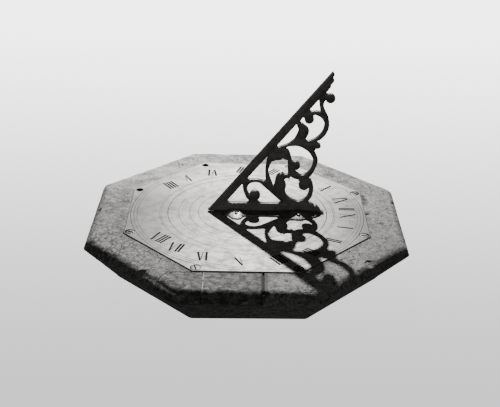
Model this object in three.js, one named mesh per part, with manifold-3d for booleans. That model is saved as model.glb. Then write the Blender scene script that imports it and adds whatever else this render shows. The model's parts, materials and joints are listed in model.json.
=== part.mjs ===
// Garden sundial: an eight-sided cap stone with a let-in repair along one edge,
// an octagonal dial plate let a little way in and screwed into lead plugs, and a pierced
// scrollwork gnomon, pinned under the plate, on a leaf-edged foot.
//
// Millimetres. The origin is the middle of the cap stone's bed face. +X runs
// north along the noon line, +Y is west and +Z is up.

import * as THREE from 'three';
import { mergeVertices } from 'three/addons/utils/BufferGeometryUtils.js';
import Module from 'manifold-3d';

const wasm = await Module();
wasm.setup();

// ---- Driving dimensions ----

const latitude = 51.5; // degrees, and the slope of the style
const sides = 8;
const halfSide = Math.PI / sides;

const stoneFlats = 376; // flat part of the top, across flats
const bandFlats = 400; // upright edge band at its fullest
const bedFlats = 326; // bed face
const stoneHeight = 56.5;
const bandHeight = 16;
const topRounding = 11; // of the worn bull-nosed edge
const bedTurn = THREE.MathUtils.degToRad(1.2); // the hewn underside is a little askew

const plateFlats = 304.8; // a 12 inch plate
const plateThickness = 3;
const plateTurn = THREE.MathUtils.degToRad(0.4); // laid slightly off square
const seatDepth = 1.8; // how far the plate is let into the stone
const seatClearance = 0.6;

const cornerRadius = 157; // of the circle of corner holes
const cornerHoleRadius = 4.3;
const screwHeadRadius = 5.5;
const screwShankRadius = 2.4;
const screwLength = 26;
const slotWidth = 1.2;
const slotDepth = 1.2;
const lugRadius = 8.5; // lead plug
const lugDepth = 34;
const lugBoreRadius = 2.9;
const emptyCorners = [2, 3]; // the two whose screws are lost

const heelX = -51.2; // where the style meets the dial
const gnomonThickness = 6;
const footThickness = 1.8; // in the channel under the gnomon
const footEdge = 1.3;
const footCrown = 4.5; // how far the moulding rises above its edge
const footHalfWidth = 23; // at its widest
const tenonWidth = 16;
const tenonDepth = 27;
const tenonCentres = [48, 112]; // from the heel
const pinRadius = 2;
const pinLength = 26;
const pocketLength = 30;
const pocketWidth = 38;
const pocketDepth = 34;

const repairSouth = -90; // ends of the let-in repair at the plate, and its middle joint
const repairJoint = -50;
const repairNorth = 20;
const repairSlant = 2 / 3; // run of its askew south end, along X for each mm outwards
const repairDepth = 20;
const plateClearance = 2.5;
const mortarThickness = 1.6;

const gap = 0.3;
const plateZ = stoneHeight - seatDepth;
const dialZ = plateZ + plateThickness;

// ---- Finishes ----

function finish(color, roughness, metalness) {
  return new THREE.MeshStandardMaterial({ color, roughness, metalness });
}

const weatheredStone = finish(0x9c9a95, 0.9, 0);
const repairStone = finish(0x87857f, 0.85, 0);
const mortar = finish(0xb5b3ac, 0.95, 0);
const agedBrass = finish(0xb9b5aa, 0.38, 0.85);
const darkBronze = finish(0x24231f, 0.5, 0.8);
const screwBrass = finish(0x4a463d, 0.5, 0.8);
const lead = finish(0x5b5c5f, 0.6, 0.7);

// ---- Solids ----

function toSolid(geometry) {
  const bare = geometry.clone();
  bare.deleteAttribute('normal');
  bare.deleteAttribute('uv');
  const merged = mergeVertices(bare, 1e-4);
  const index = merged.index.array;
  const triangles = [];
  for (let i = 0; i < index.length; i += 3) {
    const [a, b, c] = [index[i], index[i + 1], index[i + 2]];
    if (a !== b && b !== c && c !== a) triangles.push(a, b, c);
  }
  return new wasm.Manifold(new wasm.Mesh({
    numProp: 3,
    vertProperties: new Float32Array(merged.attributes.position.array),
    triVerts: new Uint32Array(triangles),
  }));
}

function toGeometry(solid) {
  const mesh = solid.getMesh();
  const geometry = new THREE.BufferGeometry();
  geometry.setAttribute('position', new THREE.BufferAttribute(mesh.vertProperties, 3));
  geometry.setIndex(new THREE.BufferAttribute(mesh.triVerts, 1));
  geometry.computeVertexNormals();
  return geometry;
}

function block(x0, x1, y0, y1, z0, z1) {
  const box = new THREE.BoxGeometry(x1 - x0, y1 - y0, z1 - z0);
  return box.translate((x0 + x1) / 2, (y0 + y1) / 2, (z0 + z1) / 2);
}

// A round bar along Z, or a cone frustum where the two radii differ.
function rod(topRadius, bottomRadius, z0, z1, segments = 24) {
  const bar = new THREE.CylinderGeometry(topRadius, bottomRadius, z1 - z0, segments);
  return bar.rotateX(Math.PI / 2).translate(0, 0, (z0 + z1) / 2);
}

// An eight-sided turning, with its flats square to X and Y. Each profile point
// is [half the size across flats, height].
function octagonal(profile) {
  const points = profile.map(([flat, z]) => new THREE.Vector2(flat / Math.cos(halfSide), z));
  const turned = new THREE.LatheGeometry(points, sides, halfSide);
  return turned.rotateX(Math.PI / 2);
}

// Joins straight and curved runs into one closed outline. A run of one point is
// a straight line to it; a run of several is a smooth curve through them; an arc
// is { centre, radius, from, to } in degrees, turning clockwise where to < from.
function outline(Kind, start, runs) {
  const path = new Kind();
  path.moveTo(...start);
  for (const run of runs) {
    if (!Array.isArray(run)) {
      const [from, to] = [run.from, run.to].map(THREE.MathUtils.degToRad);
      path.absarc(...run.centre, run.radius, from, to, to < from);
    } else if (run.length === 1) {
      path.lineTo(...run[0]);
    } else {
      path.splineThru(run.map(([u, v]) => new THREE.Vector2(u, v)));
    }
  }
  path.closePath();
  return path;
}

// ---- Cap stone and its repair ----

function stoneProfile() {
  const bandBottom = stoneHeight - bandHeight;
  const points = [[0, 0], [bedFlats / 2, 0], [bandFlats / 2 - 2, bandBottom]];
  points.push([bandFlats / 2, bandBottom + bandHeight * 0.2]);
  const edge = bandFlats / 2 - 1.2;
  const round = stoneFlats / 2 - edge;
  for (let step = 0; step <= 4; step += 1) {
    const angle = (step / 4) * (Math.PI / 2);
    const flat = edge + round * (1 - Math.cos(angle));
    points.push([flat, stoneHeight - topRounding * (1 - Math.sin(angle))]);
  }
  points.push([0, stoneHeight]);
  return points;
}

function stoneShape() {
  const shape = octagonal(stoneProfile());
  const points = shape.attributes.position;
  const point = new THREE.Vector3();
  const up = new THREE.Vector3(0, 0, 1);
  for (let i = 0; i < points.count; i += 1) {
    point.fromBufferAttribute(points, i);
    if (point.z < 1) point.applyAxisAngle(up, bedTurn);
    points.setXYZ(i, ...point);
  }
  return shape;
}

const stoneBlank = toSolid(stoneShape());

// A prism over the repair's plan, from its floor to above the stone's top face. The
// repair reaches in to the plate's edge, and its south end is askew.
function repairPrism(inset, depth) {
  const outer = -bandFlats / 2 - 5;
  const inner = -plateFlats / 2 - plateClearance - inset;
  const south = repairSouth + inset;
  const north = repairNorth - inset;
  const plan = new THREE.Shape([
    new THREE.Vector2(south - repairSlant * (inner - outer), outer),
    new THREE.Vector2(north, outer),
    new THREE.Vector2(north, inner),
    new THREE.Vector2(south, inner),
  ]);
  const prism = new THREE.ExtrudeGeometry(plan, { depth: depth + 5, bevelEnabled: false });
  return toSolid(prism.translate(0, 0, stoneHeight - depth));
}

const plugSites = [];
for (let corner = 0; corner < sides; corner += 1) {
  const angle = (corner + 0.5) * 2 * halfSide + plateTurn;
  plugSites.push({
    corner,
    x: cornerRadius * Math.cos(angle),
    y: cornerRadius * Math.sin(angle),
    angle,
  });
}

function plugHole(site) {
  const hole = rod(lugRadius, lugRadius, plateZ - lugDepth, plateZ + 5);
  return toSolid(hole.translate(site.x, site.y, 0));
}

function tenonPocket(centre) {
  const x = heelX + centre;
  const [halfLength, halfWidth] = [pocketLength / 2, pocketWidth / 2];
  return toSolid(block(x - halfLength, x + halfLength, -halfWidth, halfWidth,
    plateZ - pocketDepth, plateZ + 5));
}

function plateSeat() {
  const half = plateFlats / 2 + seatClearance;
  const top = stoneHeight + 5;
  const seat = octagonal([[0, plateZ], [half, plateZ], [half, top], [0, top]]);
  return toSolid(seat.rotateZ(plateTurn));
}

function capStone() {
  let stone = stoneBlank.subtract(repairPrism(0, repairDepth)).subtract(plateSeat());
  for (const site of plugSites) stone = stone.subtract(plugHole(site));
  for (const centre of tenonCentres) stone = stone.subtract(tenonPocket(centre));
  return toGeometry(stone);
}

const bedInset = mortarThickness + gap; // from the recess's wall to the repair stones

function repairSpan(x0, x1) {
  return toSolid(block(x0, x1, -bandFlats / 2 - 10, -plateFlats / 2, 0, stoneHeight + 5));
}

function repairPiece(x0, x1) {
  const room = repairPrism(bedInset, repairDepth - bedInset);
  return toGeometry(stoneBlank.intersect(room).intersect(repairSpan(x0, x1)));
}

// One bed of mortar: the recess's lining, and the upright joint between the stones.
function repairMortar() {
  const lining = repairPrism(gap, repairDepth - gap);
  const jointHalf = mortarThickness / 2;
  const joint = repairSpan(repairJoint - jointHalf, repairJoint + jointHalf);
  const room = repairPrism(mortarThickness, repairDepth - mortarThickness);
  const bed = lining.subtract(room).add(joint.intersect(lining));
  return toGeometry(stoneBlank.intersect(bed));
}

// ---- Dial plate, its screws and lead plugs ----

function tenonSlot(centre, z0, z1) {
  const x = heelX + centre;
  const [halfLength, halfWidth] = [tenonWidth / 2 + gap, gnomonThickness / 2 + gap];
  return toSolid(block(x - halfLength, x + halfLength, -halfWidth, halfWidth, z0, z1));
}

const headDepth = screwHeadRadius - screwShankRadius - 0.6;
const screwRim = 0.5; // upright edge of the head

// Countersunk clearance for a corner screw, from its rim on the plate's face.
function countersink(site) {
  const rim = dialZ - screwRim;
  const sink = rod(screwHeadRadius + gap, screwShankRadius + gap, dialZ - headDepth, rim);
  const lip = rod(screwHeadRadius + gap, screwHeadRadius + gap, rim, dialZ + 2);
  const shank = rod(screwShankRadius + gap, screwShankRadius + gap, plateZ - 2, dialZ - headDepth);
  return toSolid(sink).add(toSolid(lip)).add(toSolid(shank)).translate(site.x, site.y, 0);
}

function emptyHole(site) {
  const hole = rod(cornerHoleRadius, cornerHoleRadius, plateZ - 2, dialZ + 2);
  return toSolid(hole.translate(site.x, site.y, 0));
}

const rivetSites = [
  [37, -13], [37, 13], [117, -14], [117, 14],
].map(([u, y]) => ({ x: heelX + u, y }));
const rivetRadius = 1.6;

function rivetHole(site, z0, z1) {
  const radius = rivetRadius + gap;
  return toSolid(rod(radius, radius, z0, z1, 12).translate(site.x, site.y, 0));
}

function dialPlate() {
  const half = plateFlats / 2;
  const blank = octagonal([[0, plateZ], [half, plateZ], [half, dialZ], [0, dialZ]]);
  let plate = toSolid(blank.rotateZ(plateTurn));
  for (const site of plugSites) {
    const hole = emptyCorners.includes(site.corner) ? emptyHole(site) : countersink(site);
    plate = plate.subtract(hole);
  }
  for (const centre of tenonCentres) {
    plate = plate.subtract(tenonSlot(centre, plateZ - 2, dialZ + 2));
  }
  for (const site of rivetSites) plate = plate.subtract(rivetHole(site, plateZ - 2, dialZ + 2));
  return toGeometry(plate);
}

// A slotted countersunk wood screw, its head flush with the plate.
function cornerScrew(site) {
  const profile = [
    [0, -screwLength],
    [screwShankRadius, -screwLength + 4],
    [screwShankRadius, -headDepth],
    [screwHeadRadius, -screwRim],
    [screwHeadRadius, 0],
    [0, 0],
  ].map(([radius, z]) => new THREE.Vector2(radius, z));
  const turned = new THREE.LatheGeometry(profile, 24).rotateX(Math.PI / 2);
  const half = slotWidth / 2;
  const slot = block(-screwHeadRadius - 1, screwHeadRadius + 1, -half, half, -slotDepth, 1);
  slot.rotateZ(site.angle + site.corner);
  const screw = toGeometry(toSolid(turned).subtract(toSolid(slot)));
  return screw.translate(site.x, site.y, dialZ);
}

function leadPlug(site) {
  const top = plateZ - gap;
  const body = toSolid(rod(lugRadius - gap, lugRadius - gap, plateZ - lugDepth + gap, top));
  const bore = toSolid(rod(lugBoreRadius, lugBoreRadius, dialZ - screwLength - 2, top + 2));
  return toGeometry(body.subtract(bore).translate(site.x, site.y, 0));
}

// ---- Gnomon ----
// Drawn in its own plane: u runs along the noon line from the heel, and v is
// the height above the dial.

const rise = Math.tan(THREE.MathUtils.degToRad(latitude));
const styleTop = (u) => [u, rise * u + 1.5];
const styleUnder = (u) => [u, rise * u - 15.1];
const railTop = 13.5;
const tipU = 151;

function gnomonOutline() {
  const knob = { centre: [150.1, 157.2], radius: 6, from: -160, to: 78 };
  const sideKnob = { centre: [137.7, 94.4], radius: 3.7, from: -100, to: 65 };
  return outline(THREE.Shape, [3, footThickness], [
    [[148.8, footThickness]],
    [[149.8, 2], [148.9, 2.8], [147.4, 3], [145.4, 4.1]],
    [[145, 5.8], [143.6, 8], [141.6, 9.9], [139.4, 11.3], [137.4, 10.9]],
    [[136.4, 12.2], [134.8, 13.7], [132.6, 14.6], [130.6, 15]],
    [[129.4, 16], [128.1, 16.9]],
    [[133, 23.5], [134.9, 32.3], [134.7, 38.9], [132, 46.6], [127, 49.9]],
    [[131.4, 54.3], [135.8, 63], [138.6, 73], [138, 78.5], [133.8, 87.3]],
    [[135.3, 90.6]],
    sideKnob,
    [[136.2, 99.2]],
    [[136.9, 101.1]],
    [[141.3, 103.8], [146.3, 109.3], [149.6, 117], [150.4, 123.6], [149, 132.4],
      [145.7, 139], [143, 145], [142.2, 150], [143.5, 154.4]],
    knob,
    [[143.5, 163.5]],
    [[149.6, 172]],
    [[150.1, 175], [153.2, 180], [151.8, 184.5]],
    [[153.4, 188], styleTop(tipU)],
    [styleTop(2)],
    [[0.4, 3.4], [0.6, 2.4], [3, footThickness]],
  ]);
}

function heelOpening() {
  return outline(THREE.Path, styleUnder(25.5), [
    [[26.4, 14.6], [28.5, railTop]],
    [[49.5, railTop]],
    [[52, 14.6], [53, 16.9]],
    [[48.9, 22.4], [45.6, 31], [44.6, 38]],
    [[44.2, 39.6], styleUnder(43.4)],
  ]);
}

function wedgeOpening() {
  return outline(THREE.Path, styleUnder(49.7), [
    [[54.4, 46.9], [61, 47.2], [65.4, 46.8], [70.9, 45], [73.7, 46]],
    [[72.8, 58], [73.5, 67.5], [74.8, 76], styleUnder(76.4)],
  ]);
}

// Under the rail-side arch, round the ball that stands on the rail.
function archOpening() {
  const ball = { centre: [60.4, 24.2], radius: 6.9, from: 168, to: -60 };
  return outline(THREE.Path, [53.3, 25.7], [
    ball,
    [[65.5, 15.2], [68.2, railTop]],
    [[88.5, railTop]],
    [[92, 14.4], [94, 16.9]],
    [[87, 23], [79, 30.5], [72, 37]],
    [[67, 41.5], [61.6, 43.3], [56.5, 42.5], [52.5, 39.5], [50.5, 34.5], [51.3, 29.5],
      [53.3, 25.7]],
  ]);
}

function leafOpening() {
  return outline(THREE.Path, [83.6, 38.4], [
    [[84.7, 40], [86.9, 51], [90.7, 56]],
    [[92.5, 55.2], [94.6, 56.5]],
    [[98, 54.6], [101.7, 55.4]],
    [[101.2, 63], [100.6, 74.7]],
    [[97.5, 74.8], [94.6, 76.9]],
    [[92, 74.6], [86.5, 74], [80.8, 71.9]],
    [[78.1, 65.3], [77, 58.7], [78.6, 52], [83.6, 38.4]],
  ]);
}

// The large ring, with the leaf and ball that curl into it.
function ringOpening() {
  const ball = { centre: [110.7, 67], radius: 6, from: 112, to: -98 };
  return outline(THREE.Path, [96.8, 90.6], [
    [[98.6, 89.6], [101, 88.5]],
    [[103.8, 83], [105, 78.5], [106.3, 73.4]],
    ball,
    [[112.8, 57.8], [119.3, 54.1], [124.8, 56.5], [129.8, 62], [132.3, 70], [132, 77],
      [127.5, 85], [121, 90.3], [114.5, 93.3], [108.3, 93.9], [101.2, 93], [96.8, 90.6]],
  ]);
}

// The lower ring, with a ball hanging into it from its upper end.
function lowerOpening() {
  const ball = { centre: [122.6, 40], radius: 6.8, from: 326, to: 150 };
  return outline(THREE.Path, [96.8, 46.6], [
    [[99, 42.8], [100, 38.9], [99, 33.4], [99.6, 29], [102.8, 23.5], [109.4, 19.1],
      [116, 17.3], [121.5, 19], [125.8, 22.8], [128.7, 29], [129.4, 35.5], [128.3, 36.3]],
    ball,
    [[116.6, 45.4], [116.4, 47.7]],
    [[110.5, 49], [105.6, 51.6]],
    [[104.4, 50.4], [103.9, 46.2]],
    [[102.6, 48.9], [99.5, 49.4], [96.8, 46.6]],
  ]);
}

function upperWedgeOpening() {
  return outline(THREE.Path, styleUnder(87.4), [
    [[87, 92.4], [89.5, 92]],
    [[94, 93.9], [100.6, 96.7], [107.2, 102.2], [110, 107], [112.2, 112.6], [112.9, 116.5]],
    [[111, 119.8], styleUnder(110)],
  ]);
}

// The upper ring, with a ball hanging into it from above.
function upperOpening() {
  const ball = { centre: [125.4, 129.8], radius: 5.9, from: 402, to: 178 };
  return outline(THREE.Path, [117.7, 132.4], [
    [[114.9, 128], [115.5, 124.7]],
    [[118.2, 123.6], [120.4, 121.4]],
    [[122.8, 120], [125.2, 117]],
    [[125.9, 113.7], [124.3, 108.2], [122.1, 103.8]],
    [[123.6, 101.4], [125.9, 101.1]],
    [[133.6, 104.4], [139.1, 109.3], [143, 115.9], [144.3, 123.6], [142.4, 129],
      [138, 133.5], [132.5, 135.7], [130.4, 135]],
    ball,
    [[118.8, 131.6], [117.7, 132.4]],
  ]);
}

function topOpening() {
  return outline(THREE.Path, styleUnder(125.6), [
    [[126.6, 140.6], [128.1, 140.3]],
    [[133, 140.8], [138.4, 140.2]],
    [[137.4, 146.5], [136.2, 154]],
    [[135.9, 155.2], styleUnder(135.4)],
  ]);
}

const pinHeight = plateZ - 2 * gap - pinRadius; // the pins draw up under the plate

function tenon(centre) {
  const x = heelX + centre;
  const [halfWidth, halfThick] = [tenonWidth / 2, gnomonThickness / 2];
  const body = block(x - halfWidth, x + halfWidth, -halfThick, halfThick,
    dialZ - plateThickness - tenonDepth, dialZ + footThickness + 1);
  const radius = pinRadius + gap;
  const hole = new THREE.CylinderGeometry(radius, radius, gnomonThickness * 2, 16);
  return toSolid(body).subtract(toSolid(hole.translate(x, 0, pinHeight)));
}

function gnomonPlate() {
  const shape = gnomonOutline();
  shape.holes.push(heelOpening(), wedgeOpening(), archOpening(), leafOpening(), ringOpening(),
    lowerOpening(), upperWedgeOpening(), upperOpening(), topOpening());
  const flat = new THREE.ExtrudeGeometry(shape, {
    depth: gnomonThickness,
    bevelEnabled: false,
    curveSegments: 5,
  });
  flat.rotateX(Math.PI / 2).translate(heelX, gnomonThickness / 2, dialZ);
  let plate = toSolid(flat);
  for (const centre of tenonCentres) plate = plate.add(tenon(centre));
  return toGeometry(plate);
}

function tenonPin(centre) {
  const pin = new THREE.CylinderGeometry(pinRadius, pinRadius * 0.8, pinLength, 16);
  return pin.translate(heelX + centre, 0, pinHeight);
}

// ---- Foot ----
// A low moulded leaf with a channel along it, in which the gnomon stands. One side of
// its edge, as [u, half width]; each run is one lobe.

const footLobes = [
  [[12.5, 7.8], [17, 8.5]],
  [[22, 13], [27, 14.5]],
  [[31, 20.4], [35, 23], [40, 23.4], [43.8, 21]],
  [[46, 16.4], [50, 14.6], [58, 14.2], [68, 13.8], [78, 14.2], [88, 14.8]],
  [[94, 18], [99, 21], [104.5, 22.9], [109.5, 22.4]],
  [[115, 23.3], [121, 23], [125.6, 20.4]],
  [[129, 19], [133.5, 17.4], [136.5, 15]],
  [[139.5, 13.8], [141.7, 10.8]],
  [[144.2, 8.6], [145.8, 5.6]],
  [[147.6, 4], [149.6, 0.8]],
];

function footHeight(halfWidth, y) {
  const crown = footCrown * Math.min(1, halfWidth / footHalfWidth);
  return footEdge + crown * (1 - (y / halfWidth) ** 2);
}

// Cross-sections from the heel to the nose, each running over the top from one edge to
// the other and back underneath.
function footBlank() {
  const stations = outline(THREE.Path, [8, 5], footLobes).getPoints(3).slice(0, -1);
  const across = [-1, -0.9, -0.75, -0.55, -0.3, 0, 0.3, 0.55, 0.75, 0.9, 1];
  const ring = across.length + 2;
  const points = [];
  const faces = [];
  stations.forEach(({ x: u, y: halfWidth }, row) => {
    for (const share of across) {
      const y = share * halfWidth;
      points.push(heelX + u, y, dialZ + footHeight(halfWidth, y));
    }
    points.push(heelX + u, halfWidth, dialZ, heelX + u, -halfWidth, dialZ);
    for (let i = 0; row > 0 && i < ring; i += 1) {
      const here = row * ring + i;
      const beside = row * ring + ((i + 1) % ring);
      faces.push(here - ring, here, beside, here - ring, beside, beside - ring);
    }
  });
  const last = (stations.length - 1) * ring;
  for (let i = 1; i < ring - 1; i += 1) {
    faces.push(0, i, i + 1, last, last + i + 1, last + i);
  }
  const blank = new THREE.BufferGeometry();
  blank.setAttribute('position', new THREE.Float32BufferAttribute(points, 3));
  blank.setIndex(faces);
  return toSolid(blank);
}

const rivetSeat = 4.1; // of the rivets' heads, above the dial
const rivetHeadRadius = 2.6;

function gnomonFoot() {
  const halfChannel = gnomonThickness / 2 + gap;
  const [floor, above] = [dialZ + footThickness, dialZ + 20];
  const channel = block(heelX - 10, heelX + 200, -halfChannel, halfChannel, floor, above);
  let foot = footBlank().subtract(toSolid(channel));
  for (const centre of tenonCentres) {
    foot = foot.subtract(tenonSlot(centre, dialZ - 2, dialZ + 4));
  }
  for (const site of rivetSites) {
    const radius = rivetHeadRadius + gap;
    const seat = rod(radius, radius, dialZ + rivetSeat, above).translate(site.x, site.y, 0);
    foot = foot.subtract(rivetHole(site, dialZ - 2, above)).subtract(toSolid(seat));
  }
  return toGeometry(foot);
}

// A round-headed rivet through the foot and the dial plate.
function footRivet(site) {
  const head = rivetHeadRadius;
  const top = rivetSeat + gap * 0.5;
  const profile = [
    [0, -plateThickness + 0.2],
    [rivetRadius, -plateThickness + 0.2],
    [rivetRadius, top],
    [head, top],
    [head * 0.8, top + 0.8],
    [0, top + 1.2],
  ].map(([radius, z]) => new THREE.Vector2(radius, z));
  const turned = new THREE.LatheGeometry(profile, 12).rotateX(Math.PI / 2);
  return turned.translate(site.x, site.y, dialZ);
}

// ---- Assembly ----

const sundial = new THREE.Group();

function add(parent, name, geometry, material) {
  const mesh = new THREE.Mesh(geometry, material);
  mesh.name = name;
  parent.add(mesh);
}

const stonework = new THREE.Group();
add(stonework, 'cap_stone', capStone(), weatheredStone);
const jointGap = mortarThickness / 2 + gap;
add(stonework, 'edge_repair_south', repairPiece(-200, repairJoint - jointGap), repairStone);
add(stonework, 'edge_repair_north', repairPiece(repairJoint + jointGap, 200), repairStone);
add(stonework, 'repair_mortar', repairMortar(), mortar);
for (const site of plugSites) {
  add(stonework, `lead_plug_${site.corner + 1}`, leadPlug(site), lead);
}
sundial.add(stonework);

const dial = new THREE.Group();
add(dial, 'dial_plate', dialPlate(), agedBrass);
for (const site of plugSites) {
  if (!emptyCorners.includes(site.corner)) {
    add(dial, `corner_screw_${site.corner + 1}`, cornerScrew(site), screwBrass);
  }
}
sundial.add(dial);

const shadowCaster = new THREE.Group();
add(shadowCaster, 'gnomon', gnomonPlate(), darkBronze);
add(shadowCaster, 'gnomon_foot', gnomonFoot(), darkBronze);
add(shadowCaster, 'tenon_pin_south', tenonPin(tenonCentres[0]), screwBrass);
add(shadowCaster, 'tenon_pin_north', tenonPin(tenonCentres[1]), screwBrass);
rivetSites.forEach((site, i) => add(shadowCaster, `foot_rivet_${i + 1}`, footRivet(site), screwBrass));
sundial.add(shadowCaster);

export default sundial;
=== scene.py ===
import json
import math

import bmesh
import bpy
from mathutils import Matrix, Vector, noise

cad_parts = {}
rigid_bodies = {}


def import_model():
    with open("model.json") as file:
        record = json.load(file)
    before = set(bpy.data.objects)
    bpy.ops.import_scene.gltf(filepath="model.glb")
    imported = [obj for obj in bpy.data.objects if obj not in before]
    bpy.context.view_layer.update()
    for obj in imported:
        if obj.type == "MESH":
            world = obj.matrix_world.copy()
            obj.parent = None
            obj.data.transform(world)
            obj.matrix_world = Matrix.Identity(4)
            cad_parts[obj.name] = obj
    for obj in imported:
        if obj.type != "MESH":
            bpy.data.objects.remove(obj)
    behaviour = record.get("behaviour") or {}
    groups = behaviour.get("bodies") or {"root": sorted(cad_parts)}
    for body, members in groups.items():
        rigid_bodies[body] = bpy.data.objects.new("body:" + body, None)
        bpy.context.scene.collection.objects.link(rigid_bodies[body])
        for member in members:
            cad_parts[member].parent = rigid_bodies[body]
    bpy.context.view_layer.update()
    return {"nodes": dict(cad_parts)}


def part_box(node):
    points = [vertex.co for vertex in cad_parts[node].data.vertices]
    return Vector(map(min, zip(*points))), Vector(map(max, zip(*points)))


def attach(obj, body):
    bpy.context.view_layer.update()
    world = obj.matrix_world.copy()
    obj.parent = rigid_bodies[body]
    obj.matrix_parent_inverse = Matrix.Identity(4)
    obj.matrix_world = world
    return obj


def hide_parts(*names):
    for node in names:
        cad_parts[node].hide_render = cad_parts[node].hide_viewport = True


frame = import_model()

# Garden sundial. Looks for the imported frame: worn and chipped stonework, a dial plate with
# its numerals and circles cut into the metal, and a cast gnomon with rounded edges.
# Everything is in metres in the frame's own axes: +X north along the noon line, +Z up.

MM = 0.001
BODY = "root"
SIDES = 8
OCTANT = 2 * math.pi / SIDES

# ---- Driving dimensions, from the frame ----

_, stone_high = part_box("cap_stone")
plate_low, plate_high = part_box("dial_plate")
gnomon_low, gnomon_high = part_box("gnomon")
foot_low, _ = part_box("gnomon_foot")
north_low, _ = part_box("edge_repair_north")
_, south_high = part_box("edge_repair_south")
mortar_low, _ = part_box("repair_mortar")

BAND_FLAT = stone_high.x  # half the size across flats, at the fullest part of the edge band
STONE_TOP = stone_high.z
DIAL_TOP = plate_high.z
HEEL_X = gnomon_low.x
LATITUDE = math.radians(51.5)

TOP_FLAT = 188 * MM
BED_FLAT = 163 * MM
BED_TURN = math.radians(1.2)
BAND_HEIGHT = 16 * MM
TOP_ROUNDING = 11 * MM
PLATE_FLAT = 152.4 * MM
PLATE_TURN = math.radians(0.4)
SEAT_FLAT = 153.0 * MM
CORNER_RADIUS = 157 * MM
LUG_HALF_LENGTH = 8.3 * MM  # of the slots that the gnomon's tenons pass through
LUG_HALF_WIDTH = 3.3 * MM


# ---- Mesh helpers ----

def link(name, bm, *materials):
    mesh = bpy.data.meshes.new(name)
    bmesh.ops.recalc_face_normals(bm, faces=bm.faces)
    bm.to_mesh(mesh)
    bm.free()
    for material in materials:
        mesh.materials.append(material)
    obj = bpy.data.objects.new(name, mesh)
    bpy.context.scene.collection.objects.link(obj)
    return obj


def apply_modifiers(obj):
    graph = bpy.context.evaluated_depsgraph_get()
    mesh = bpy.data.meshes.new_from_object(obj.evaluated_get(graph))
    obj.modifiers.clear()
    obj.data = mesh


def combine(obj, other, operation):
    """Boolean obj with other, which is used up."""
    modifier = obj.modifiers.new("combine", "BOOLEAN")
    modifier.operation = operation
    modifier.solver = "MANIFOLD"
    modifier.object = other
    apply_modifiers(obj)
    bpy.data.objects.remove(other)
    return obj


def copy_of(obj, name):
    twin = bpy.data.objects.new(name, obj.data.copy())
    bpy.context.scene.collection.objects.link(twin)
    return twin


def add_prism(bm, outline, z0, z1, slot=0, top_outline=None):
    """A closed prism over a 2-D outline; with top_outline its sides taper."""
    low = [bm.verts.new((x, y, z0)) for x, y in outline]
    high = [bm.verts.new((x, y, z1)) for x, y in (top_outline or outline)]
    faces = [bm.faces.new(low[::-1]), bm.faces.new(high)]
    count = len(low)
    for i in range(count):
        j = (i + 1) % count
        faces.append(bm.faces.new((low[i], low[j], high[j], high[i])))
    for face in faces:
        face.material_index = slot


def add_turning(bm, profile, centre, segments, slot=0):
    """A closed turning about Z. The profile runs (radius, z) from axis to axis."""
    cx, cy, cz = centre
    rings = []
    for radius, z in profile:
        if radius == 0:
            rings.append([bm.verts.new((cx, cy, cz + z))])
            continue
        angles = [2 * math.pi * i / segments for i in range(segments)]
        rings.append([bm.verts.new((cx + radius * math.cos(a), cy + radius * math.sin(a), cz + z))
                      for a in angles])
    for lower, upper in zip(rings, rings[1:]):
        for i in range(segments):
            j = (i + 1) % segments
            corners = [lower[i % len(lower)], lower[j % len(lower)],
                       upper[j % len(upper)], upper[i % len(upper)]]
            unique = list(dict.fromkeys(corners))
            bm.faces.new(unique).material_index = slot


def octagon(flat, turn=0.0, rounding=0.0, steps=1):
    """Corner points of an octagon whose flats are square to X and Y, its corners rounded."""
    points = []
    inner = (flat - rounding) / math.cos(OCTANT / 2)
    for corner in range(SIDES):
        middle = (corner + 0.5) * OCTANT + turn
        cx, cy = inner * math.cos(middle), inner * math.sin(middle)
        for step in range(steps):
            share = step / (steps - 1) - 0.5 if steps > 1 else 0.0
            angle = middle + share * OCTANT
            points.append((cx + rounding * math.cos(angle), cy + rounding * math.sin(angle)))
    return points


def smooth(obj, angle=35):
    for polygon in obj.data.polygons:
        polygon.use_smooth = True
    obj.data.set_sharp_from_angle(angle=math.radians(angle))


def finish_piece(obj, slot, *nodes):
    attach(obj, BODY)
    if nodes:
        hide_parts(*nodes)
    return obj


# ---- Material helper ----

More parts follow.
